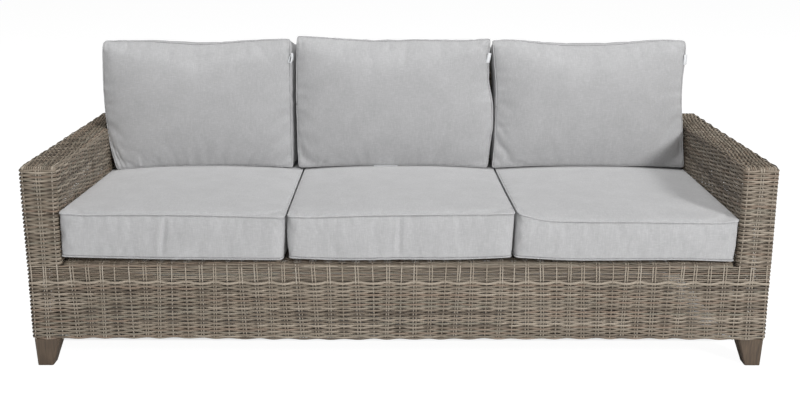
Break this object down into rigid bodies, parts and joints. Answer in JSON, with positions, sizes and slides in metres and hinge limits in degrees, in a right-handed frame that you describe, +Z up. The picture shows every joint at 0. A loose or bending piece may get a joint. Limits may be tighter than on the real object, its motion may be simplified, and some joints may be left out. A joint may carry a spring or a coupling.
{
  "type": "rattan garden sofa",
  "caption": "Low garden sofa with a woven tube frame, square arms, tapered feet and loose boxed seat and back cushions.",
  "frame": {"origin": "on the ground, under the middle of the sofa", "axes": "+X to the right as seen from the front, +Y from the front to the back, +Z up"},
  "size_m": [2.15, 0.925, 0.8779],
  "materials": {
    "woven_strand": "round polyethylene strand, brushed taupe and grey, closely woven",
    "deck_strap": "flat polyethylene strap, matt dark taupe",
    "frame_tube": "powder-coated welded tube",
    "foot": "smooth moulded block in a brown taupe",
    "fixing_steel": "zinc-plated steel",
    "cushion_cover": "plain woven polyester in a fine heather light grey, with self piping",
    "label_ribbon": "bare white satin ribbon"
  },
  "bodies": {
    "frame": {"back_left_post": "frame_tube", "back_middle_left_post": "frame_tube", "back_middle_right_post": "frame_tube", "back_right_post": "frame_tube", "back_top_rail": "frame_tube", "back_weave": "woven_strand", "front_apron_weave": "woven_strand", "front_bottom_rail": "frame_tube", "front_left_foot": "foot", "front_left_foot_plate": "fixing_steel", "front_left_foot_stud": "fixing_steel", "front_left_stile": "frame_tube", "front_right_foot": "foot", "front_right_foot_plate": "fixing_steel", "front_right_foot_stud": "fixing_steel", "front_right_stile": "frame_tube", "front_top_rail": "frame_tube", "left_arm_front_spacer": "frame_tube", "left_arm_inner_foot_tube": "frame_tube", "left_arm_inner_hoop": "frame_tube", "left_arm_outer_foot_tube": "frame_tube", "left_arm_outer_hoop": "frame_tube", "left_arm_rear_spacer": "frame_tube", "left_arm_weave": "woven_strand", "left_seat_side_tube": "frame_tube", "rear_apron_weave": "woven_strand", "rear_bottom_rail": "frame_tube", "rear_left_foot": "foot", "rear_left_foot_plate": "fixing_steel", "rear_left_foot_stud": "fixing_steel", "rear_left_stile": "frame_tube", "rear_right_foot": "foot", "rear_right_foot_plate": "fixing_steel", "rear_right_foot_stud": "fixing_steel", "rear_right_stile": "frame_tube", "rear_top_rail": "frame_tube", "right_arm_front_spacer": "frame_tube", "right_arm_inner_foot_tube": "frame_tube", "right_arm_inner_hoop": "frame_tube", "right_arm_outer_foot_tube": "frame_tube", "right_arm_outer_hoop": "frame_tube", "right_arm_rear_spacer": "frame_tube", "right_arm_weave": "woven_strand", "right_seat_side_tube": "frame_tube", "seat_bearer_1": "frame_tube", "seat_bearer_2": "frame_tube", "seat_bearer_3": "frame_tube", "seat_deck": "deck_strap"},
    "left_seat": {"seat_cushion_left": "cushion_cover"},
    "left_back": {"back_cushion_left": "cushion_cover", "care_tag_left": "label_ribbon", "label_left": "label_ribbon"},
    "middle_seat": {"seat_cushion_middle": "cushion_cover"},
    "middle_back": {"back_cushion_middle": "cushion_cover", "care_tag_middle": "label_ribbon", "label_middle": "label_ribbon"},
    "right_seat": {"seat_cushion_right": "cushion_cover"},
    "right_back": {"back_cushion_right": "cushion_cover", "label_right": "label_ribbon"}
  },
  "joints": [
    {"name": "left_seat_slide", "type": "slide", "parent": "frame", "child": "left_seat", "axis": [0, -1, 0], "range_m": [0, 0.82]},
    {"name": "middle_seat_slide", "type": "slide", "parent": "frame", "child": "middle_seat", "axis": [0, -1, 0], "range_m": [0, 0.82]},
    {"name": "right_seat_slide", "type": "slide", "parent": "frame", "child": "right_seat", "axis": [0, -1, 0], "range_m": [0, 0.82]},
    {"name": "left_back_lift", "type": "slide", "parent": "frame", "child": "left_back", "axis": [0, 0, 1], "range_m": [0, 0.43]},
    {"name": "middle_back_lift", "type": "slide", "parent": "frame", "child": "middle_back", "axis": [0, 0, 1], "range_m": [0, 0.43]},
    {"name": "right_back_lift", "type": "slide", "parent": "frame", "child": "right_back", "axis": [0, 0, 1], "range_m": [0, 0.43]}
  ]
}
